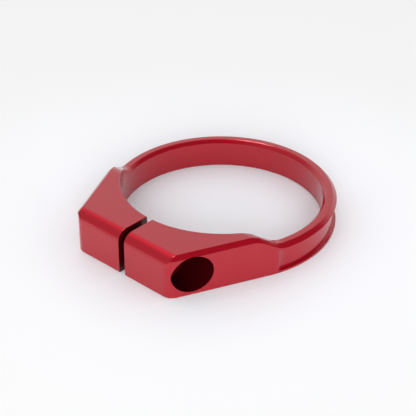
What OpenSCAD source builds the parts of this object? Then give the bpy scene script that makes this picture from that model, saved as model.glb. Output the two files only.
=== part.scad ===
/* [Ring] */
// Diameter of the bore that closes on the steerer tube
bore_d = 38.2; // [28:0.1:60]
// Wall of the ring, over the flange and the bottom lip
ring_wall = 2.6; // [1.5:0.1:5]
// Height of the ring
ring_h = 5.8; // [4:0.1:12]

/* [Ears] */
// Height of the two ears
ear_h = 8.5; // [6:0.1:18]
// Width of the front face, measured between its corners before they are rounded
front_w = 23.2; // [16:0.1:40]
// Radius of the two upright front corners
corner_r = 2.4; // [0.5:0.1:4]
// Radius of the long rounded edge between the front face and the top
front_edge_r = 2.1; // [0.5:0.1:3]

/* [Slope from ears to ring] */
// Distance from the front face to where the flat ear top ends
flat_len = 14.35; // [10:0.05:20]
// Steepness of the slope, in degrees
slope_deg = 32; // [15:1:50]
// Angle at which the flat ear top breaks into the crest, in degrees
break_deg = 3; // [1:0.5:8]
// Radius of the crest at the top of the slope
crest_r = 4.2; // [1:0.1:6]
// Radius of the hollow at the foot of the slope
foot_r = 4.2; // [1:0.1:8]

/* [Edge chamfers] */
// Chamfer on the outer top edge of ears and ring
outer_chamfer = 0.75; // [0.3:0.05:1]
// Chamfer on the inner top edge of the ring
ring_chamfer = 0.6; // [0.2:0.05:1]
// Chamfer on the inner top edge of the ears
ear_chamfer = 0.35; // [0.1:0.05:0.8]
// Chamfer on the bottom edge of the bore
base_chamfer = 0.25; // [0.1:0.05:0.5]

/* [Groove round the ring] */
// Height of the lip left below the groove
lip_h = 0.55; // [0.4:0.05:2]
// Upright land left between the groove and the outer chamfer
flange_land = 0.2; // [0.1:0.05:1]
// Depth of the groove
groove_depth = 0.6; // [0.2:0.05:1.2]
// Angle in front of the bore centre where the groove reaches full depth, in degrees
groove_deg = 15.8; // [5:0.1:22]
// Radius of the cutter that leaves the groove's two ends
cutter_r = 1.5; // [1:0.1:4]

/* [Slot and screw holes] */
// Width of the slot between the ears
slot_w = 1.4; // [0.8:0.1:4]
// Distance from the bore's wall to the screw axis
screw_offset = 3.2; // [2.8:0.05:8]
// Diameter of the recess for the screw's head
head_d = 7.1; // [5.7:0.1:8]
// Wall left between the head's recess and the front face
head_wall = 0.55; // [0.4:0.05:3]
// Depth of the recess at its shallow side, where the head sits below the side face
head_depth = 4.25; // [2:0.05:6]
// Diameter of the clearance hole in the right ear
clear_d = 4.3; // [3.2:0.1:5.5]
// Diameter of the hole in the left ear, over the crests of its screw thread
thread_d = 3.3; // [2.5:0.1:4.2]
// Diameter of the lead-in where the threaded hole meets the slot
lead_d = 4.3; // [3.1:0.1:5.4]

/* [Hidden] */
$fn = 180;
bore_r = bore_d / 2;
ring_r = bore_r + ring_wall;
half_w = front_w / 2;
past = 1;

// The screw axis lies outside the bore, and the front face beyond the head
screw_reach = bore_r + screw_offset;
screw_z = ear_h / 2;
front_reach = screw_reach + head_d / 2 + head_wall;

// The ears' side faces run tangent into the ring
side_deg = atan2(front_reach, half_w) - acos(ring_r / norm([front_reach, half_w]));
side_n = [cos(side_deg), -sin(side_deg)];
tangent_y = -ring_r * sin(side_deg);
corner_y = corner_r - front_reach;
corner_x = (ring_r - corner_r + sin(side_deg) * corner_y) / cos(side_deg);
corner_c = [corner_x, corner_y];

// Side view of the slope: crest arc, straight run, foot arc
crest_y = flat_len - front_reach;
crest_c = [crest_y - crest_r * sin(break_deg), ear_h - crest_r * cos(break_deg)];
crest_end = crest_c + crest_r * [sin(slope_deg), cos(slope_deg)];
foot_z = ring_h + foot_r * (1 - cos(slope_deg));
foot_y = crest_end[0] + (crest_end[1] - foot_z) / tan(slope_deg);
foot_end_y = foot_y + foot_r * sin(slope_deg);

// The seat under the screw's head, measured from the slot's middle
seat_x = side_x(head_wall - front_reach) - head_depth;

groove_top = ring_h - outer_chamfer - flange_land;
steps = 30;
reach = 0.5;
lap = 0.05;

// Height of the top surface at a distance y along the part
function top_z(y) =
    y <= crest_y ? ear_h
    : y <= crest_end[0] ? crest_c[1] + sqrt(pow(crest_r, 2) - pow(y - crest_c[0], 2))
    : y <= foot_y ? crest_end[1] - (y - crest_end[0]) * tan(slope_deg)
    : y < foot_end_y ? ring_h + foot_r - sqrt(pow(foot_r, 2) - pow(y - foot_end_y, 2))
    : ring_h;

// Point and outward normal of the outer outline at y
function side_x(y) = (ring_r + y * sin(side_deg)) / cos(side_deg);
function arc_x(y, r) = sqrt(r * r - y * y);
function outline_x(y) = y < tangent_y ? side_x(y) : arc_x(y, ring_r);
function outline_n(y) = y < tangent_y ? side_n : [arc_x(y, ring_r), y] / ring_r;

// Chamfer size at y for the inner edge, from the ears' to the ring's
function inner_size(y) =
    ear_chamfer + (ring_chamfer - ear_chamfer) * (y - crest_y) / (foot_end_y - crest_y);

// Three corners of the chamfer wedge on an edge point p with normal n
function wedge(p, n, z, c) = [
    [p[0] - n[0] * (c + reach), p[1] - n[1] * (c + reach), z + reach],
    [p[0] + n[0] * reach, p[1] + n[1] * reach, z - c - reach],
    [p[0] + n[0] * reach, p[1] + n[1] * reach, z + reach]
];

// Solid lofted through a list of three-cornered sections
module loft(sections) {
    last = len(sections) - 1;
    points = [for (s = sections) for (p = s) p];
    sides = [
        for (i = [0:last - 1]) for (k = [0:2])
            let (a = 3 * i + k, b = 3 * i + (k + 1) % 3)
                each [[a, b, b + 3], [a, b + 3, a + 3]]
    ];
    ends = [[2, 1, 0], [3 * last, 3 * last + 1, 3 * last + 2]];
    polyhedron(points, concat(ends, sides));
}

// Wedges that chamfer the curved edges down one slope
module outer_slope_wedge() {
    run = foot_end_y + lap - crest_y;
    loft([
        for (i = [0:steps])
            let (y = crest_y + run * i / steps)
                wedge([outline_x(y), y], outline_n(y), top_z(y), outer_chamfer)
    ]);
}

module inner_slope_wedge() {
    run = foot_end_y + lap - crest_y;
    loft([
        for (i = [0:steps])
            let (y = foot_end_y + lap - run * i / steps, x = arc_x(y, bore_r))
                wedge([x, y], -[x, y] / bore_r, top_z(y), inner_size(y))
    ]);
}

// Outline seen from above
module plan() {
    corner_end = corner_c + corner_r * side_n;
    ring_end = ring_r * side_n;
    polygon([
        [-corner_x, -front_reach], [corner_x, -front_reach], corner_end, ring_end, [0, 0],
        [-ring_end[0], ring_end[1]], [-corner_end[0], corner_end[1]]
    ]);
    circle(ring_r);
    for (s = [-1, 1])
        translate([s * corner_x, corner_y]) circle(corner_r);
}

// Prism across the part, given by its outline in y and z
module across(points) {
    wide = 2 * ring_r + front_w;
    translate([-wide / 2, 0, 0]) rotate([90, 0, 90]) linear_extrude(wide) polygon(points);
}

module rod_across(y, z, r) {
    wide = 2 * ring_r + front_w + 2 * past;
    translate([-wide / 2, y, z]) rotate([0, 90, 0]) cylinder(r = r, h = wide);
}

// Everything above the crest, the slope, its foot and the ring
module above_slope() {
    sky = ear_h + past;
    line_y = crest_end[0] - (sky - crest_end[1]) / tan(slope_deg);
    difference() {
        across([[crest_y, sky], [crest_y, crest_end[1]], crest_end, [crest_end[0], sky]]);
        rod_across(crest_c[0], crest_c[1], crest_r);
    }
    across([[line_y, sky], [foot_y, foot_z], [foot_end_y + past, foot_z], [foot_end_y + past, sky]]);
    rod_across(foot_end_y, ring_h + foot_r, foot_r);
    across([
        [foot_end_y, sky], [foot_end_y, ring_h], [ring_r + past, ring_h], [ring_r + past, sky]
    ]);
}

// Rounds the long edge between the front face and the top
module front_edge_cut() {
    y = front_edge_r - front_reach;
    z = ear_h - front_edge_r;
    out = -front_reach - past;
    sky = ear_h + past;
    difference() {
        across([[out, z], [y, z], [y, sky], [out, sky]]);
        rod_across(y, z, front_edge_r);
    }
}

module blank() {
    difference() {
        linear_extrude(ear_h) difference() {
            plan();
            circle(bore_r);
        }
        above_slope();
        front_edge_cut();
    }
}

// Cone-shaped cut on a round edge of radius r at height z
module inner_cone(r, z, c) {
    translate([0, 0, z - c - past]) cylinder(r1 = r - past, r2 = r + c + past, h = c + 2 * past);
}

module outer_cone(r, z, c) {
    translate([0, 0, z - c - past]) difference() {
        cylinder(r = r + 2 * past, h = c + 2 * past);
        cylinder(r1 = r + past, r2 = r - c - past, h = c + 2 * past);
    }
}

// Straight chamfer along the flat top edge of the right ear
module ear_side_cut() {
    long = front_reach + ring_r;
    deep = outer_chamfer + past;
    rotate([0, 0, -side_deg])
        translate([ring_r, -long, ear_h - outer_chamfer])
            rotate([0, -45, 0]) translate([0, 0, -deep]) cube([deep, long, 3 * deep]);
}

module groove() {
    angles = [-groove_deg, 180 + groove_deg];
    depth_r = ring_r - groove_depth;
    rotate([0, 0, angles[0]])
        rotate_extrude(angle = angles[1] - angles[0])
            translate([depth_r, lip_h]) square([groove_depth + past, groove_top - lip_h]);
    for (a = angles)
        rotate([0, 0, a])
            translate([depth_r + cutter_r, 0, lip_h]) cylinder(r = cutter_r, h = groove_top - lip_h);
}

// Keeps a cut behind the foot of the slope, where the ring is level
module behind_slope() {
    intersection() {
        children();
        translate([-2 * ring_r, foot_end_y, 0]) cube([4 * ring_r, 4 * ring_r, ear_h + 2 * past]);
    }
}

// Screw axis: the local z axis points out of the right ear
module along_screw(x) {
    translate([x, -screw_reach, screw_z]) rotate([0, 90, 0]) children();
}

module screw_holes() {
    far = half_w + ring_r;
    cone = (lead_d - thread_d) / 2;
    along_screw(seat_x) cylinder(d = head_d, h = far);
    along_screw(0) cylinder(d = clear_d, h = seat_x + past);
    along_screw(-far) cylinder(d = thread_d, h = far);
    along_screw(-slot_w / 2 - cone) cylinder(d1 = thread_d, d2 = lead_d + 2 * past, h = cone + past);
}

module clamp() {
    color([0.72, 0.16, 0.2]) difference() {
        blank();
        translate([0, 0, -past])
            cylinder(r1 = bore_r + base_chamfer + past, r2 = bore_r - past, h = base_chamfer + 2 * past);
        inner_cone(bore_r, ear_h, ear_chamfer);
        behind_slope() inner_cone(bore_r, ring_h, ring_chamfer);
        behind_slope() outer_cone(ring_r, ring_h, outer_chamfer);
        for (s = [0, 1]) mirror([s, 0, 0]) {
            ear_side_cut();
            outer_slope_wedge();
            inner_slope_wedge();
        }
        groove();
        translate([-slot_w / 2, -front_reach - past, -past])
            cube([slot_w, front_reach + past, ear_h + 2 * past]);
        screw_holes();
    }
}

clamp();
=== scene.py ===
"""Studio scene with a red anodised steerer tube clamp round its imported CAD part.

The clamp is one piece of metal, made here as in a workshop: a flat blank is drawn and raised, then
slot, bore, slope, rounded front edge, chamfers, groove and screw holes are cut, every sharp edge
is broken, and the thread is cut last. The finished mesh stands for the CAD node.
"""

import logging
import math
from dataclasses import dataclass, field
from enum import Enum
from typing import Sequence

import bmesh
import bpy
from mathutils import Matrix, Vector

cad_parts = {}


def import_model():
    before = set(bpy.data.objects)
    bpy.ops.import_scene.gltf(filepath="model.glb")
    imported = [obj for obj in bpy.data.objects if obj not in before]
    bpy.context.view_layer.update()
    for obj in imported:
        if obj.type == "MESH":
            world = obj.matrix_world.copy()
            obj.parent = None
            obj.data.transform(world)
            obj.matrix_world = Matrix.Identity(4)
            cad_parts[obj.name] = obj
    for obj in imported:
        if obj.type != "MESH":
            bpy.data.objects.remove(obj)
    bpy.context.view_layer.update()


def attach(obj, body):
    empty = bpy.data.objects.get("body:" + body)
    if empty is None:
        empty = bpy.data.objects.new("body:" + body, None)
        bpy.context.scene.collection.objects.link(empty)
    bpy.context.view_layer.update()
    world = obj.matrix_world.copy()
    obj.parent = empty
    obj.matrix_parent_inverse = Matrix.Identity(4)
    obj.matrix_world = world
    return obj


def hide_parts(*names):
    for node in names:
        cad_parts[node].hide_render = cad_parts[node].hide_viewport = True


LOG = logging.getLogger("clamp scene")
MM = 0.001
TAU = 2 * math.pi
PHOTO_PIXELS = 416

# Points closer than this are one point
MERGE = 0.004 * MM
# Largest part of a unit normal along an axis that the face runs along
ALONG = 0.1
# Least part of a unit normal along the axis that the face looks along
FACING = 0.99


def direction(azimuth: float, elevation: float) -> Vector:
    """Direction from the clamp to a camera or lamp.

    Args:
        azimuth: Angle round the clamp from its front, towards +X.
        elevation: Angle above the floor.

    Returns:
        Unit vector.
    """
    level = math.cos(elevation)
    return Vector(
        (math.sin(azimuth) * level, -math.cos(azimuth) * level, math.sin(elevation))
    )


class Zone(Enum):
    """The clamp's finishes, in the order of its material slots.

    The walls of the slot share the finish of the drilled holes, whose dark colour is painted
    shade.
    """

    SATIN = 0
    EDGE = 1
    TURNED = 2
    DRILLED = 3


class Lights(Enum):
    """The kind of light a lamp gives, by what the surface does with it."""

    MATT = "spread by the surface"
    GLOSS = "mirrored by the surface"


@dataclass(frozen=True)
class ClampSizes:
    """The clamp's sizes in metres and radians, as in the CAD part but for fine details."""

    bore_radius: float = 19.1 * MM
    ring_wall: float = 2.6 * MM
    ring_height: float = 5.8 * MM
    ear_height: float = 8.5 * MM
    front_width: float = 23.2 * MM
    corner_radius: float = 2.4 * MM
    front_edge_radius: float = 2.1 * MM
    flat_length: float = 14.35 * MM
    slope_angle: float = math.radians(32)
    break_angle: float = math.radians(3)
    crest_radius: float = 4.2 * MM
    foot_radius: float = 4.2 * MM
    outer_chamfer: float = 0.75 * MM
    ring_chamfer: float = 0.6 * MM
    ear_chamfer: float = 0.15 * MM
    base_chamfer: float = 0.25 * MM
    base_edge: float = 0.25 * MM
    lip_height: float = 0.55 * MM
    flange_land: float = 0.2 * MM
    groove_depth: float = 0.6 * MM
    groove_angle: float = math.radians(14.4)
    cutter_radius: float = 5.0 * MM
    slot_width: float = 1.4 * MM
    screw_offset: float = 3.2 * MM
    head_radius: float = 3.55 * MM
    head_wall: float = 0.55 * MM
    head_depth: float = 4.25 * MM
    clearance_radius: float = 2.15 * MM
    thread_radius: float = 1.65 * MM
    thread_root_radius: float = 2.0 * MM
    thread_pitch: float = 0.7 * MM
    flank_angle: float = math.radians(30)
    lead_radius: float = 2.15 * MM

    @property
    def ring_radius(self) -> float:
        """Outside radius of the ring."""
        return self.bore_radius + self.ring_wall

    @property
    def screw_y(self) -> float:
        """Place of the screw axis along Y."""
        return -self.bore_radius - self.screw_offset

    @property
    def screw_z(self) -> float:
        """Height of the screw axis."""
        return self.ear_height / 2

    @property
    def front_y(self) -> float:
        """Place of the flat front face along Y."""
        return self.screw_y - self.head_radius - self.head_wall

    @property
    def side_angle(self) -> float:
        """Angle by which the ears' side faces turn in towards the front."""
        half = self.front_width / 2
        reach = math.hypot(self.front_y, half)
        return math.atan2(-self.front_y, half) - math.acos(self.ring_radius / reach)

    @property
    def side_normal(self) -> Vector:
        """Outward normal of the right ear's side face, seen from above."""
        return Vector((math.cos(self.side_angle), -math.sin(self.side_angle)))

    @property
    def tangent_y(self) -> float:
        """Place along Y where the side faces meet the ring."""
        return -self.ring_radius * math.sin(self.side_angle)

    @property
    def corner(self) -> Vector:
        """Centre of the right front corner's round, seen from above."""
        y = self.front_y + self.corner_radius
        x = self.side_x(y) - self.corner_radius / math.cos(self.side_angle)
        return Vector((x, y))

    @property
    def crest_y(self) -> float:
        """Place along Y where the flat ear top ends."""
        return self.front_y + self.flat_length

    @property
    def crest(self) -> Vector:
        """Centre of the crest's round, in Y and Z."""
        y = self.crest_y - self.crest_radius * math.sin(self.break_angle)
        return Vector((y, self.ear_height - self.crest_radius * math.cos(self.break_angle)))

    @property
    def crest_end(self) -> Vector:
        """Point in Y and Z where the crest runs into the straight slope."""
        turn = Vector((math.sin(self.slope_angle), math.cos(self.slope_angle)))
        return self.crest + self.crest_radius * turn

    @property
    def foot(self) -> Vector:
        """Centre of the hollow at the foot of the slope, in Y and Z."""
        start = self.foot_start
        y = start[0] + self.foot_radius * math.sin(self.slope_angle)
        return Vector((y, self.ring_height + self.foot_radius))

    @property
    def foot_start(self) -> Vector:
        """Point in Y and Z where the straight slope runs into its foot."""
        z = self.ring_height + self.foot_radius * (1 - math.cos(self.slope_angle))
        y = self.crest_end[0] + (self.crest_end[1] - z) / math.tan(self.slope_angle)
        return Vector((y, z))

    @property
    def seat_x(self) -> float:
        """Place along X of the seat under the screw's head."""
        return self.side_x(self.front_y + self.head_wall) - self.head_depth

    @property
    def groove_top(self) -> float:
        """Height of the groove's upper wall."""
        return self.ring_height - self.outer_chamfer - self.flange_land

    def side_x(self, y: float) -> float:
        """Half width between the ears' side faces at a place along Y.

        Args:
            y: Place along Y.

        Returns:
            Distance of the side face from the middle.
        """
        return (self.ring_radius + y * math.sin(self.side_angle)) / math.cos(self.side_angle)

    def top_z(self, y: float) -> float:
        """Height of the top surface at a place along Y.

        Args:
            y: Place along Y.

        Returns:
            Height above the flat underside.
        """
        if y <= self.crest_y:
            return self.ear_height
        if y <= self.crest_end[0]:
            return self.crest[1] + math.sqrt(self.crest_radius**2 - (y - self.crest[0]) ** 2)
        if y <= self.foot_start[0]:
            return self.crest_end[1] - (y - self.crest_end[0]) * math.tan(self.slope_angle)
        if y < self.foot[0]:
            return self.foot[1] - math.sqrt(self.foot_radius**2 - (y - self.foot[0]) ** 2)
        return self.ring_height

    def inner_chamfer(self, y: float) -> float:
        """Size of the chamfer on the inner top edge at a place along Y.

        Args:
            y: Place along Y.

        Returns:
            Width of the chamfer seen from above.
        """
        share = (y - self.crest_y) / (self.foot[0] - self.crest_y)
        share = min(max(share, 0.0), 1.0)
        return self.ear_chamfer + (self.ring_chamfer - self.ear_chamfer) * share


class Bench:
    """One mesh on the bench, drawn and shaped with Blender's own operators.

    The pen is the mesh's one selected vertex, and drawing extrudes it.
    """

    def __init__(self, name: str, start: Vector) -> None:
        """Put down a small plane and gather it into the pen's first point.

        Args:
            name: Name of the new object.
            start: First point of the drawing.
        """
        self.rest()
        bpy.ops.mesh.primitive_plane_add(size=MM, location=(0, 0, 0))
        self.piece = bpy.context.object
        self.piece.name = name
        self.piece.data.name = name
        bpy.ops.object.mode_set(mode="EDIT")
        bpy.ops.mesh.select_all(action="SELECT")
        bpy.ops.mesh.merge(type="CENTER")
        bpy.ops.transform.translate(value=start)
        self.pen = Vector(start)

    @staticmethod
    def rest() -> None:
        """Leave edit mode and deselect every object."""
        if bpy.context.object and bpy.context.object.mode != "OBJECT":
            bpy.ops.object.mode_set(mode="OBJECT")
        bpy.ops.object.select_all(action="DESELECT")

    def line(self, point: Vector) -> None:
        """Draw a straight line from the pen to a point."""
        move = {"value": Vector(point) - self.pen}
        bpy.ops.mesh.extrude_vertices_move(TRANSFORM_OT_translate=move)
        self.pen = Vector(point)

    def arc(self, centre: Vector, axis: Vector, angle: float, steps: int) -> None:
        """Draw an arc from the pen round a centre.

        Args:
            centre: Centre of the arc.
            axis: Axis that the arc turns about.
            angle: Angle of the arc, positive by the right hand.
            steps: Number of straight pieces.
        """
        bpy.ops.mesh.spin(steps=steps, angle=-angle, center=centre, axis=axis)
        centre = Vector(centre)
        reach = self.pen - centre
        axis = Vector(axis).normalized()
        across = axis.cross(reach)
        along = axis * axis.dot(reach)
        turned = along + (reach - along) * math.cos(angle) + across * math.sin(angle)
        self.pen = centre + turned

    def close(self) -> None:
        """Join the drawing's ends and fill it with one face."""
        mesh = bmesh.from_edit_mesh(self.piece.data)
        for vertex in mesh.verts:
            vertex.select = len(vertex.link_edges) == 1
        mesh.select_flush_mode()
        bmesh.update_edit_mesh(self.piece.data)
        bpy.ops.mesh.edge_face_add()
        bpy.ops.mesh.select_all(action="SELECT")
        bpy.ops.mesh.edge_face_add()

    def extrude(self, move: Vector) -> None:
        """Extrude the selected face by a distance."""
        move = {"value": Vector(move)}
        bpy.ops.mesh.extrude_region_move(TRANSFORM_OT_translate=move)

    def loft(self, sections: Sequence[Sequence[Vector]]) -> None:
        """Extrude the selected face from section to section.

        Args:
            sections: Corners of each section in the same order, the first as drawn.
        """
        last = [Vector(corner) for corner in sections[0]]
        for section in sections[1:]:
            bpy.ops.mesh.extrude_region_move()
            mesh = bmesh.from_edit_mesh(self.piece.data)
            for vertex in [v for v in mesh.verts if v.select]:
                nearest = min(range(len(last)), key=lambda i: (last[i] - vertex.co).length)
                vertex.co = section[nearest]
            bmesh.update_edit_mesh(self.piece.data)
            last = [Vector(corner) for corner in section]

    def soften_base(self, radius: float, steps: int) -> None:
        """Round the outline's edge in the plane Z = 0.

        Args:
            radius: Radius of the rounded edge.
            steps: Number of flat pieces across it.
        """
        bpy.ops.mesh.select_mode(type="EDGE")
        bpy.ops.mesh.select_all(action="DESELECT")
        mesh = bmesh.from_edit_mesh(self.piece.data)
        for edge in mesh.edges:
            edge.select = all(abs(vertex.co.z) < MERGE for vertex in edge.verts)
        bmesh.update_edit_mesh(self.piece.data)
        bpy.ops.mesh.bevel(offset=radius, segments=steps, affect="EDGES")
        bpy.ops.mesh.select_mode(type="VERT")

    def outward(self) -> None:
        """Turn every face outwards and go back to object mode."""
        bpy.ops.mesh.select_all(action="SELECT")
        bpy.ops.mesh.normals_make_consistent(inside=False)
        bpy.ops.object.mode_set(mode="OBJECT")


def take_up(piece: bpy.types.Object) -> None:
    """Make a piece the only one selected, and the active one."""
    Bench.rest()
    piece.select_set(True)
    bpy.context.view_layer.objects.active = piece


def cut(piece: bpy.types.Object, tool: bpy.types.Object) -> None:
    """Cut a tool's shape out of a piece and put the tool away.

    Args:
        piece: The piece that is cut.
        tool: A closed mesh, removed afterwards.
    """
    take_up(piece)
    modifier = piece.modifiers.new("cut", "BOOLEAN")
    modifier.operation = "DIFFERENCE"
    modifier.solver = "EXACT"
    modifier.object = tool
    bpy.ops.object.modifier_apply(modifier=modifier.name)
    bpy.data.objects.remove(tool)
    bpy.ops.object.mode_set(mode="EDIT")
    bpy.ops.mesh.select_all(action="SELECT")
    bpy.ops.mesh.remove_doubles(threshold=MERGE)
    bpy.ops.mesh.dissolve_degenerate(threshold=MERGE)
    bpy.ops.object.mode_set(mode="OBJECT")


@dataclass
class Clamp:
    """The clamp itself, one piece of anodised aluminium.

    Steps are the straight pieces of an arc, and over is how far a tool reaches past the metal.
    Edges bent by more than sharp_from are broken, and those bent by less than smooth_to are
    shaded smooth. Faces within one_plane of each other are joined before the breaks, and pairs
    of triangles within one_quad are made quads.
    """

    sizes: ClampSizes = field(default_factory=ClampSizes)
    ring_steps: int = 360
    round_steps: int = 20
    hole_steps: int = 96
    thread_steps: int = 40
    base_edge_steps: int = 4
    over: float = 1.0 * MM
    wedge_reach: float = 0.5 * MM
    tip_angle: float = math.radians(80)
    groove_over: float = 4.0 * MM
    groove_spread: float = math.radians(8)
    groove_far_steps: int = 90
    run_out_angle: float = math.radians(100)
    thread_over: float = 2.2 * MM
    thread_overlap: float = 0.1 * MM
    edge_break: float = 0.07 * MM
    edge_break_steps: int = 3
    sharp_from: float = math.radians(25)
    smooth_to: float = math.radians(38)
    one_plane: float = math.radians(0.3)
    one_quad: float = math.radians(0.5)
    quad_shape: float = math.radians(60)
    large_face_weight: int = 60
    wall_margin: float = 0.05 * MM

    def blank(self) -> bpy.types.Object:
        """Draw the outline seen from above, raise it to the ears' height and round its base.

        Returns:
            The blank.
        """
        s = self.sizes
        up = Vector((0, 0, 1))
        normal = s.side_normal
        corner = s.corner.to_3d()
        back_turn = math.pi + 2 * s.side_angle
        steps = round(self.ring_steps * back_turn / TAU)
        corner_turn = math.pi / 2 - s.side_angle
        mirrored = Vector((-corner[0], corner[1], 0))
        pen = Bench("clamp_body", (s.ring_radius * normal).to_3d())
        pen.arc(Vector((0, 0, 0)), up, back_turn, steps)
        pen.line(mirrored + s.corner_radius * Vector((-normal[0], normal[1], 0)))
        pen.arc(mirrored, up, corner_turn, self.round_steps)
        pen.line(corner - Vector((0, s.corner_radius, 0)))
        pen.arc(corner, up, corner_turn, self.round_steps)
        pen.close()
        pen.extrude(Vector((0, 0, s.ear_height)))
        pen.soften_base(s.base_edge, self.base_edge_steps)
        pen.outward()
        return pen.piece

    def slope_tool(self) -> bpy.types.Object:
        """The tool for everything above the crest, the slope, its foot and the ring."""
        s = self.sizes
        wide = s.ring_radius + self.over
        across = Vector((-1, 0, 0))

        def at(y: float, z: float) -> Vector:
            """Point on the tool's left face."""
            return Vector((-wide, y, z))

        turn = s.slope_angle - s.break_angle
        pen = Bench("slope_tool", at(s.crest_y, s.ear_height))
        pen.arc(at(*s.crest), across, turn, self.round_steps)
        pen.line(at(*s.foot_start))
        pen.arc(at(*s.foot), -across, s.slope_angle, self.round_steps)
        pen.line(at(wide, s.ring_height))
        pen.line(at(wide, s.ear_height + self.over))
        pen.line(at(s.crest_y, s.ear_height + self.over))
        pen.close()
        pen.extrude(Vector((2 * wide, 0, 0)))
        pen.outward()
        return pen.piece

    def front_edge_tool(self) -> bpy.types.Object:
        """The tool that rounds the long edge between the front face and the top."""
        s = self.sizes
        wide = s.ring_radius
        y = s.front_y + s.front_edge_radius
        z = s.ear_height - s.front_edge_radius
        out = s.front_y - self.over
        sky = s.ear_height + self.over
        pen = Bench("front_edge_tool", Vector((-wide, y, s.ear_height)))
        pen.arc(Vector((-wide, y, z)), Vector((1, 0, 0)), math.pi / 2, self.round_steps)
        pen.line(Vector((-wide, out, z)))
        pen.line(Vector((-wide, out, sky)))
        pen.line(Vector((-wide, y, sky)))
        pen.close()
        pen.extrude(Vector((2 * wide, 0, 0)))
        pen.outward()
        return pen.piece

    def bore_tool(self) -> bpy.types.Object:
        """The round tool that bores the clamp."""
        s = self.sizes
        Bench.rest()
        bpy.ops.mesh.primitive_cylinder_add(
            vertices=self.ring_steps,
            radius=s.bore_radius,
            depth=3 * s.ear_height,
            location=(0, 0, s.ear_height / 2),
        )
        return bpy.context.object

    def base_tool(self) -> bpy.types.Object:
        """The cone that breaks the bore's bottom edge."""
        s = self.sizes
        Bench.rest()
        bpy.ops.mesh.primitive_cone_add(
            vertices=self.ring_steps,
            radius1=s.bore_radius + s.base_chamfer + self.over,
            radius2=s.bore_radius - self.over,
            depth=s.base_chamfer + 2 * self.over,
            location=(0, 0, s.base_chamfer / 2),
        )
        return bpy.context.object

    def wedge(self, edge: Vector, normal: Vector, size: float) -> list[Vector]:
        """Three corners of a chamfering tool's section on an edge.

        Args:
            edge: Point on the edge.
            normal: Outward level direction of the wall under it.
            size: Size of the chamfer.

        Returns:
            The inner, lower and outer corner.
        """
        reach = self.wedge_reach
        up = Vector((0, 0, 1))
        normal = normal.to_3d()
        inner = edge - size * normal
        inner.z = self.sizes.top_z(inner.y)
        lower = edge - size * up
        slope = (inner - lower).normalized()
        inner += reach * slope
        lower -= reach * slope
        return [inner, lower, Vector((lower.x, lower.y, inner.z))]

    def lofted(self, name: str, sections: list[list[Vector]]) -> bpy.types.Object:
        """A chamfering tool drawn through its sections.

        Args:
            name: Name of the tool.
            sections: Corners of each section.

        Returns:
            The tool.
        """
        pen = Bench(name, sections[0][0])
        for corner in sections[0][1:]:
            pen.line(corner)
        pen.close()
        pen.loft(sections)
        pen.outward()
        return pen.piece

    def inner_edge_tool(self) -> bpy.types.Object:
        """The tool that chamfers the whole inner top edge, from slot to slot."""
        s = self.sizes
        step = TAU / self.ring_steps
        sections = []
        for i in range(self.ring_steps):
            angle = (i + 0.5) * step - math.pi / 2
            out = Vector((math.cos(angle), math.sin(angle)))
            edge = (s.bore_radius * out).to_3d()
            edge.z = s.top_z(edge.y)
            sections.append(self.wedge(edge, -out, s.inner_chamfer(edge.y)))
        return self.lofted("inner_edge_tool", sections)

    def outer_edge_tool(self) -> bpy.types.Object:
        """The tool that chamfers the outer top edge of ears, slope and ring."""
        s = self.sizes
        right = self.corner_stations()
        corner_end = s.corner.y - s.corner_radius * math.sin(s.side_angle)
        bend = s.tangent_y - s.crest_y
        steps = self.round_steps
        for y in [corner_end] + [s.crest_y + bend * i / steps for i in range(steps + 1)]:
            edge = Vector((s.side_x(y), y, s.top_z(y)))
            right.append((edge, s.side_normal, s.outer_chamfer))
        turn = math.pi + 2 * s.side_angle
        ring_steps = round(self.ring_steps * turn / TAU)
        ring = []
        for i in range(1, ring_steps):
            angle = turn * i / ring_steps - s.side_angle
            out = Vector((math.cos(angle), math.sin(angle)))
            edge = (s.ring_radius * out).to_3d()
            edge.z = s.top_z(edge.y)
            ring.append((edge, out, s.outer_chamfer))
        left = [
            (Vector((-edge.x, edge.y, edge.z)), Vector((-out.x, out.y)), size)
            for edge, out, size in reversed(right)
        ]
        return self.lofted(
            "outer_edge_tool", [self.wedge(*station) for station in right + ring + left]
        )

    def corner_stations(self) -> list[tuple[Vector, Vector, float]]:
        """The outer chamfer's way round the front corner, at the height of the flat ear top.

        Returns:
            Point on the edge, outward direction and chamfer size of each section, from the
            corner's front end, where the rounded edge lies below the chamfer.
        """
        s = self.sizes
        stations = []
        for i in range(self.round_steps):
            share = 1 - i / self.round_steps
            angle = s.side_angle + (self.tip_angle - s.side_angle) * share
            out = Vector((math.cos(angle), -math.sin(angle)))
            edge = (s.corner + s.corner_radius * out).to_3d()
            edge.z = s.ear_height
            stations.append((edge, out, s.outer_chamfer))
        return stations

    def groove_tool(self) -> bpy.types.Object:
        """The tool for the groove round the ring, with the cutter's run-out at both ends."""
        s = self.sizes
        up = Vector((0, 0, 1))
        centre = Vector((0, 0, s.lip_height))
        floor = s.ring_radius - s.groove_depth
        turn = math.pi + 2 * s.groove_angle
        steps = round(self.ring_steps * turn / TAU)

        def polar(radius: float, angle: float) -> Vector:
            """Point at the groove's lower wall."""
            return Vector((radius * math.cos(angle), radius * math.sin(angle), s.lip_height))

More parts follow.
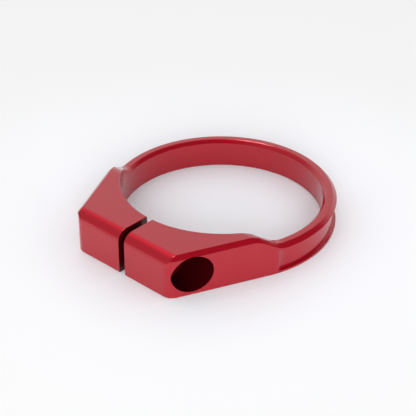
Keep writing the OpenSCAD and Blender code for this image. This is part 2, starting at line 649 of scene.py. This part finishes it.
        start, end = -s.groove_angle, math.pi + s.groove_angle
        begin = polar(floor + s.cutter_radius, start)
        finish = polar(floor + s.cutter_radius, end)
        first = begin + s.cutter_radius * Vector(
            (-math.cos(start + self.run_out_angle), -math.sin(start + self.run_out_angle), 0)
        )
        pen = Bench("groove_tool", first)
        pen.arc(begin, up, -self.run_out_angle, self.round_steps)
        pen.arc(centre, up, turn, steps)
        pen.arc(finish, up, -self.run_out_angle, self.round_steps)
        pen.line(polar(s.ring_radius + self.groove_over, end + self.groove_spread))
        pen.arc(centre, up, -turn - 2 * self.groove_spread, self.groove_far_steps)
        pen.close()
        pen.extrude(Vector((0, 0, s.groove_top - s.lip_height)))
        pen.outward()
        return pen.piece

    def slot_tool(self) -> bpy.types.Object:
        """The saw that splits the ears."""
        s = self.sizes
        Bench.rest()
        deep = -s.front_y + self.over
        bpy.ops.mesh.primitive_cube_add(
            size=1,
            location=(0, -deep / 2, s.ear_height / 2),
            scale=(s.slot_width, deep, s.ear_height + 2 * self.over),
        )
        return bpy.context.object

    def drill(self, radii: tuple[float, float], span: tuple[float, float]) -> bpy.types.Object:
        """A round tool on the screw axis, straight or tapered.

        Args:
            radii: Radius at each end.
            span: Place of each end along X, in rising order.

        Returns:
            The tool.
        """
        s = self.sizes
        Bench.rest()
        bpy.ops.mesh.primitive_cone_add(
            vertices=self.hole_steps,
            radius1=radii[0],
            radius2=radii[1],
            depth=span[1] - span[0],
            location=((span[0] + span[1]) / 2, s.screw_y, s.screw_z),
            rotation=(0, math.pi / 2, 0),
        )
        return bpy.context.object

    def screw_tools(self) -> list[bpy.types.Object]:
        """The tools for the head's recess, clearance hole, tapping hole and its lead-in."""
        s = self.sizes
        far = s.ring_radius + self.over
        cone = s.lead_radius - s.thread_radius
        lead = -s.slot_width / 2
        half = self.over / 2
        return [
            self.drill((s.head_radius, s.head_radius), (s.seat_x, far)),
            self.drill((s.clearance_radius, s.clearance_radius), (0, s.seat_x + self.over)),
            self.drill((s.thread_radius, s.thread_radius), (-far, 0)),
            self.drill(
                (s.thread_radius - self.over, s.lead_radius + half),
                (lead - cone - self.over, lead + half),
            ),
        ]

    def thread_tool(self) -> bpy.types.Object:
        """The tap: one groove wound along the screw axis, its root an eighth of the pitch."""
        s = self.sizes
        inside = s.thread_radius - self.thread_overlap
        half_root = s.thread_pitch / 8 / 2
        half_mouth = half_root + (s.thread_root_radius - inside) * math.tan(s.flank_angle)
        start = Vector((-s.side_x(s.screw_y) - self.thread_over, 0, inside))
        root = Vector((start.x, 0, s.thread_root_radius))
        pen = Bench("thread_tool", start - Vector((half_mouth, 0, 0)))
        pen.line(start + Vector((half_mouth, 0, 0)))
        pen.line(root + Vector((half_root, 0, 0)))
        pen.line(root - Vector((half_root, 0, 0)))
        pen.close()
        bpy.ops.mesh.delete(type="ONLY_FACE")
        bpy.ops.object.mode_set(mode="OBJECT")
        tool = pen.piece
        modifier = tool.modifiers.new("wind", "SCREW")
        modifier.axis = "X"
        modifier.screw_offset = s.thread_pitch
        modifier.iterations = math.ceil(-start.x / s.thread_pitch) + 1
        modifier.steps = self.thread_steps
        modifier.render_steps = self.thread_steps
        modifier.use_merge_vertices = False
        bpy.ops.object.modifier_apply(modifier=modifier.name)
        bpy.ops.object.mode_set(mode="EDIT")
        bpy.ops.mesh.select_all(action="SELECT")
        bpy.ops.mesh.fill_holes(sides=4)
        bpy.ops.mesh.select_all(action="SELECT")
        bpy.ops.transform.translate(value=(0, s.screw_y, s.screw_z))
        bpy.ops.mesh.normals_make_consistent(inside=False)
        bpy.ops.object.mode_set(mode="OBJECT")
        return tool

    def break_edges(self, piece: bpy.types.Object) -> None:
        """Give every sharp edge its fine rounded break.

        The faces with many corners are split first, because a long face round the ring
        would fold where its break runs out. No break may rise above the ears.
        """
        take_up(piece)
        bpy.ops.object.mode_set(mode="EDIT")
        bpy.ops.mesh.select_all(action="SELECT")
        bpy.ops.mesh.dissolve_limited(angle_limit=self.one_plane)
        bpy.ops.mesh.quads_convert_to_tris(quad_method="BEAUTY", ngon_method="BEAUTY")
        bpy.ops.mesh.tris_convert_to_quads(
            face_threshold=self.one_quad, shape_threshold=self.quad_shape
        )
        bpy.ops.object.mode_set(mode="OBJECT")
        modifier = piece.modifiers.new("break", "BEVEL")
        modifier.width = self.edge_break
        modifier.segments = self.edge_break_steps
        modifier.limit_method = "ANGLE"
        modifier.angle_limit = self.sharp_from
        modifier.use_clamp_overlap = False
        modifier.loop_slide = True
        modifier.material = Zone.EDGE.value
        bpy.ops.object.modifier_apply(modifier=modifier.name)
        for vertex in piece.data.vertices:
            vertex.co.z = min(vertex.co.z, self.sizes.ear_height)

    def smooth(self, piece: bpy.types.Object) -> None:
        """Shade the curved faces smooth and keep the flat ones flat."""
        take_up(piece)
        bpy.ops.object.shade_smooth_by_angle(angle=self.smooth_to)
        modifier = piece.modifiers.new("normals", "WEIGHTED_NORMAL")
        modifier.keep_sharp = True
        modifier.weight = self.large_face_weight
        bpy.ops.object.modifier_apply(modifier=modifier.name)

    def build(self) -> bpy.types.Object:
        """Machine and dress the clamp.

        Returns:
            The finished piece.
        """
        piece = self.blank()
        for tool in (
            self.slot_tool(),
            self.bore_tool(),
            self.slope_tool(),
            self.base_tool(),
            self.front_edge_tool(),
            self.outer_edge_tool(),
            self.inner_edge_tool(),
            self.groove_tool(),
        ):
            LOG.info("cutting with %s", tool.name)
            cut(piece, tool)
        for tool in self.screw_tools():
            cut(piece, tool)
        self.dress(piece)
        self.break_edges(piece)
        cut(piece, self.thread_tool())
        self.smooth(piece)
        return piece

    def dress(self, piece: bpy.types.Object) -> None:
        """Give each surface its finish, by where its faces lie; the holes and the slot walls get
        painted shade.
        """
        finishes = {
            Zone.SATIN: Anodised("satin_anodised"),
            Zone.EDGE: Anodised("broken_edge", roughness=0.26),
            Zone.TURNED: Anodised("turned_bore", turned=True),
            # Holes and slot walls: a far darker colour, painted shade for the dim light inside
            # them.
            Zone.DRILLED: Anodised(
                "painted_shade_holes",
                dye_and_shade=(0.06, 0.001, 0.0025),
                deep=(0.05, 0.001, 0.002),
                roughness=0.4,
            ),
        }
        for zone in Zone:
            piece.data.materials.append(finishes[zone].material())
        for face in piece.data.polygons:
            face.material_index = self.zone(face.center, face.normal).value

    def zone(self, middle: Vector, normal: Vector) -> Zone:
        """Finish of a face.

        Args:
            middle: Middle of the face.
            normal: Its normal.

        Returns:
            The finish.
        """
        s = self.sizes
        from_wall = abs(math.hypot(middle.x, middle.y) - s.bore_radius)
        if from_wall < self.wall_margin and abs(normal.z) < ALONG:
            return Zone.TURNED
        # The walls of the screw holes and of the slot get the painted shade.
        off = math.hypot(middle.y - s.screw_y, middle.z - s.screw_z)
        in_hole = off < s.head_radius + self.wall_margin
        in_ear = abs(middle.x) > s.slot_width / 2 + MERGE
        if in_hole and in_ear and (abs(normal.x) < ALONG or abs(middle.x) < s.seat_x + MERGE):
            return Zone.DRILLED
        if abs(normal.x) > FACING and abs(middle.x) < s.slot_width:
            return Zone.DRILLED
        return Zone.SATIN


class Socket:
    """One output socket in a node tree, with arithmetic."""

    def __init__(self, shop: "NodeShop", link: bpy.types.NodeSocket) -> None:
        """Wrap a socket of a shop's tree."""
        self.shop = shop
        self.link = link

    def math(self, operation: str, *values: "Socket | float") -> "Socket":
        """Add a Math node fed with these sockets and numbers."""
        settings = {"operation": operation}
        return self.shop.add("ShaderNodeMath", settings, dict(enumerate(values)))

    def __add__(self, other: "Socket | float") -> "Socket":
        """This plus another."""
        return self.math("ADD", self, other)

    __radd__ = __add__

    def __mul__(self, other: "Socket | float") -> "Socket":
        """This times another."""
        return self.math("MULTIPLY", self, other)

    __rmul__ = __mul__

    def __sub__(self, other: "Socket | float") -> "Socket":
        """This less another."""
        return self.math("SUBTRACT", self, other)

    def __rsub__(self, other: float) -> "Socket":
        """A number less this."""
        return self.math("SUBTRACT", other, self)


class NodeShop:
    """Makes the nodes of one material or world."""

    def __init__(self, owner: bpy.types.Material | bpy.types.World) -> None:
        """Start with an empty tree."""
        owner.use_nodes = True
        self.tree = owner.node_tree
        self.tree.nodes.clear()

    def add(
        self,
        kind: str,
        settings: dict | None = None,
        inputs: dict | None = None,
        out: int | str = 0,
    ) -> Socket:
        """Add one node.

        Args:
            kind: Type of the node.
            settings: Its settings, set first.
            inputs: Values or sockets by input name or number.
            out: Name or number of the output that is wanted.

        Returns:
            The node's output.
        """
        node = self.tree.nodes.new(kind)
        for name, value in (settings or {}).items():
            setattr(node, name, value)
        for name, value in (inputs or {}).items():
            socket = node.inputs[name]
            if isinstance(value, Socket):
                self.tree.links.new(value.link, socket)
            else:
                socket.default_value = value
        return Socket(self, node.outputs[out]) if node.outputs else Socket(self, None)

    def ramp(self, value: Socket, start: float, end: float) -> Socket:
        """A smooth rise from 0 to 1 as a value goes from start to end.

        Args:
            value: The value.
            start: Where the rise begins.
            end: Where it is complete, above or below the start.

        Returns:
            The risen share.
        """
        low, high = min(start, end), max(start, end)
        ends = (0.0, 1.0) if start < end else (1.0, 0.0)
        return self.add(
            "ShaderNodeMapRange",
            {"interpolation_type": "SMOOTHSTEP"},
            {
                "Value": value,
                "From Min": low,
                "From Max": high,
                "To Min": ends[0],
                "To Max": ends[1],
            },
        )

    def noise(self, place: Socket, scale: float, detail: float) -> Socket:
        """Noise from 0 to 1.

        Args:
            place: Where it is read.
            scale: Number of its waves per metre.
            detail: Number of finer layers.

        Returns:
            The noise.
        """
        return self.add(
            "ShaderNodeTexNoise", inputs={"Vector": place, "Scale": scale, "Detail": detail}
        )

    def blend(self, share: Socket, first: Sequence[float], second: Sequence[float]) -> Socket:
        """Mix two colours.

        Args:
            share: Share of the second colour.
            first: Red, green and blue of the first colour.
            second: Red, green and blue of the second colour.

        Returns:
            The mixed colour.
        """
        return self.add(
            "ShaderNodeMix",
            {"data_type": "RGBA"},
            {0: share, 6: (*first, 1.0), 7: (*second, 1.0)},
            out=2,
        )

    def dot(self, place: Socket, axis: Sequence[float]) -> Socket:
        """Part of a vector along an axis.

        Args:
            place: The vector.
            axis: The axis, of length 1.

        Returns:
            The length of that part.
        """
        settings = {"operation": "DOT_PRODUCT"}
        return self.add("ShaderNodeVectorMath", settings, {0: place, 1: axis}, out="Value")


@dataclass(frozen=True)
class Anodised:
    """Red anodised aluminium: a dyed metal under the clear oxide's own gloss."""

    name: str
    # Base colour and its deeper cloudy tone: the dye, or painted shade where a much darker pair is
    # given, as in the holes and slot.
    dye_and_shade: tuple[float, float, float] = (0.4, 0.005, 0.0165)
    deep: tuple[float, float, float] = (0.37, 0.0042, 0.0145)
    roughness: float = 0.42
    roughness_spread: float = 0.06
    metallic: float = 0.45
    skin_roughness: float = 0.1
    skin_ior: float = 1.5
    cloud: float = 160.0
    cloud_detail: float = 3.0
    grain: float = 9000.0
    grain_detail: float = 2.0
    lathe_marks: tuple[float, float, float] = (120.0, 120.0, 22000.0)
    lathe_share: float = 0.8
    bump_strength: float = 0.12
    bump_height: float = 0.02 * MM
    turned: bool = False

    def material(self) -> bpy.types.Material:
        """Make the material.

        Returns:
            A satin red metal with fine grain, cloudy dye and a clear skin.
        """
        material = bpy.data.materials.new(self.name)
        shop = NodeShop(material)
        place = shop.add("ShaderNodeTexCoord", out="Object")
        cloud = shop.noise(place, self.cloud, self.cloud_detail)
        height = shop.noise(place, self.grain, self.grain_detail)
        if self.turned:
            stretched = shop.add(
                "ShaderNodeMapping", inputs={"Vector": place, "Scale": self.lathe_marks}
            )
            lines = shop.noise(stretched, 1.0, self.grain_detail)
            height = lines * self.lathe_share + height * (1 - self.lathe_share)
        bump = shop.add(
            "ShaderNodeBump",
            inputs={
                "Height": height,
                "Strength": self.bump_strength,
                "Distance": self.bump_height,
            },
        )
        shader = shop.add(
            "ShaderNodeBsdfPrincipled",
            inputs={
                "Base Color": shop.blend(cloud, self.deep, self.dye_and_shade),
                "Metallic": self.metallic,
                "Specular IOR Level": 0.0,
                "Roughness": self.roughness + self.roughness_spread * (cloud - 0.5),
                "Normal": bump,
                "Coat Weight": 1.0,
                "Coat Roughness": self.skin_roughness,
                "Coat IOR": self.skin_ior,
            },
        )
        shop.add("ShaderNodeOutputMaterial", inputs={"Surface": shader})
        return material


@dataclass(frozen=True)
class Viewpoint:
    """The camera, where the photograph was taken from."""

    azimuth: float = math.radians(42.568)
    elevation: float = math.radians(32.093)
    distance: float = 242.76 * MM
    target: tuple[float, float, float] = (-3.765 * MM, 0.281 * MM, 0.0)
    focal_pixels: float = 1257.5
    sensor_mm: float = 36.0
    clip: tuple[float, float] = (1 * MM, 20.0)

    def stand(self) -> None:
        """Put the camera in its place and make it the scene's."""
        back = direction(self.azimuth, self.elevation)
        data = bpy.data.cameras.new("camera")
        data.sensor_width = self.sensor_mm
        data.sensor_fit = "HORIZONTAL"
        data.lens = self.focal_pixels * self.sensor_mm / PHOTO_PIXELS
        data.clip_start, data.clip_end = self.clip
        camera = bpy.data.objects.new("camera", data)
        bpy.context.scene.collection.objects.link(camera)
        camera.location = Vector(self.target) + self.distance * back
        camera.rotation_euler = back.to_track_quat("Z", "Y").to_euler()
        bpy.context.scene.camera = camera


@dataclass(frozen=True)
class SoftLight:
    """A square studio lamp aimed at the clamp, which no camera sees."""

    name: str
    azimuth: float
    elevation: float
    distance: float
    size: float
    power: float
    lights: Lights

    def hang(self) -> None:
        """Hang the lamp in its place."""
        back = direction(self.azimuth, self.elevation)
        data = bpy.data.lights.new(self.name, "AREA")
        data.shape = "SQUARE"
        data.size = self.size
        data.energy = self.power
        lamp = bpy.data.objects.new(self.name, data)
        bpy.context.scene.collection.objects.link(lamp)
        lamp.location = self.distance * back
        lamp.rotation_euler = back.to_track_quat("Z", "Y").to_euler()
        lamp.visible_diffuse = self.lights is Lights.MATT
        lamp.visible_glossy = self.lights is Lights.GLOSS
        lamp.visible_camera = False


OVERHEAD = SoftLight(
    "overhead",
    azimuth=math.radians(-96),
    elevation=math.radians(73),
    distance=0.6,
    size=0.14,
    power=2.4,
    lights=Lights.GLOSS,
)
FRONT = SoftLight(
    "front",
    azimuth=math.radians(42),
    elevation=math.radians(18),
    distance=1.2,
    size=0.5,
    power=9.0,
    lights=Lights.MATT,
)


@dataclass(frozen=True)
class Studio:
    """The pale floor, the room's light and the lamps.

    The room lights matt surfaces from all round, more from its walls than from its ceiling. What
    glossy surfaces mirror is a bright sweep behind the clamp, a dim wall at its left and a dark
    one at its right.
    """

    floor_size: float = 3.0
    floor_rim: float = 0.2
    floor_drop: float = 0.01 * MM
    floor_roughness: float = 0.6
    # Painted light round the clamp: a brighter pool that lifts the floor where the clamp shades
    # it, tinted purple as painted shade.
    painted_pool_colour: tuple[float, float, float] = (0.95, 0.955, 1.0)
    far_colour: tuple[float, float, float] = (0.88, 0.88, 0.88)
    near: float = 15 * MM
    far: float = 80 * MM
    cloud: float = 30.0
    cloud_detail: float = 2.0
    cloud_reach: float = 5 * MM
    horizon: float = 1.8
    zenith: float = 0.4
    away: tuple[float, float, float] = (-0.676, 0.737, 0.0)
    backdrop: float = 0.97
    backdrop_sides: tuple[float, float] = (0.25, 0.6)
    backdrop_top: tuple[float, float] = (0.8, 0.6)
    dim: float = 0.33
    dark: float = 0.02
    dim_from: tuple[float, float] = (0.3, -0.1)
    lamps: tuple[SoftLight, ...] = (OVERHEAD, FRONT)

    def floor(self) -> bpy.types.Object:
        """Lay the floor, a hair under the clamp, with a painted pool of brighter, purple-tinted
        light round it.

        Returns:
            The floor.
        """
        Bench.rest()
        bpy.ops.mesh.primitive_plane_add(size=self.floor_size, location=(0, 0, 0))
        floor = bpy.context.object
        floor.name = "floor"
        bpy.ops.object.mode_set(mode="EDIT")
        bpy.ops.mesh.select_all(action="SELECT")
        bpy.ops.mesh.inset(thickness=self.floor_rim)
        bpy.ops.transform.translate(value=(0, 0, -self.floor_drop))
        bpy.ops.object.mode_set(mode="OBJECT")
        material = bpy.data.materials.new("pale_table")
        shop = NodeShop(material)
        place = shop.add("ShaderNodeTexCoord", out="Object")
        cloud = shop.noise(place, self.cloud, self.cloud_detail)
        reach = shop.add(
            "ShaderNodeVectorMath", {"operation": "LENGTH"}, {0: place}, out="Value"
        )
        # The painted pool of light fades out from the clamp's middle between near and far, with a
        # wobbly rim.
        share = shop.ramp(reach + self.cloud_reach * cloud, self.near, self.far)
        shader = shop.add(
            "ShaderNodeBsdfPrincipled",
            inputs={
                "Base Color": shop.blend(share, self.painted_pool_colour, self.far_colour),
                "Roughness": self.floor_roughness,
            },
        )
        shop.add("ShaderNodeOutputMaterial", inputs={"Surface": shader})
        floor.data.materials.append(material)
        return floor

    def light(self) -> None:
        """Light the room and hang the lamps."""
        world = bpy.data.worlds.new("room")
        bpy.context.scene.world = world
        shop = NodeShop(world)
        towards = shop.add("ShaderNodeTexCoord", out="Generated")
        back = shop.dot(towards, self.away)
        right = shop.dot(towards, (1.0, 0.0, 0.0))
        up = shop.dot(towards, (0.0, 0.0, 1.0))
        sweep = shop.ramp(back, *self.backdrop_sides) * shop.ramp(up, *self.backdrop_top)
        wall = self.dark + (self.dim - self.dark) * shop.ramp(right, *self.dim_from)
        mirrored = wall + sweep * (self.backdrop - wall)
        ambient = self.horizon + (self.zenith - self.horizon) * up
        glossy = shop.add("ShaderNodeLightPath", out="Is Glossy Ray")
        room = shop.add(
            "ShaderNodeBackground",
            inputs={
                "Color": (1.0, 1.0, 1.0, 1.0),
                "Strength": ambient + glossy * (mirrored - ambient),
            },
        )
        shop.add("ShaderNodeOutputWorld", inputs={"Surface": room})
        for lamp in self.lamps:
            lamp.hang()


def main() -> None:
    """Build the scene."""
    logging.basicConfig(level=logging.INFO, format="%(message)s")
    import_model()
    clamp = Clamp()
    piece = clamp.build()
    LOG.info("%s: %d faces", piece.name, len(piece.data.polygons))
    studio = Studio()
    studio.floor()
    studio.light()
    Viewpoint().stand()
    bpy.context.scene.view_settings.view_transform = "Standard"
    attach(piece, "root")
    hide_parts("clamp")


if __name__ == "__main__":
    main()
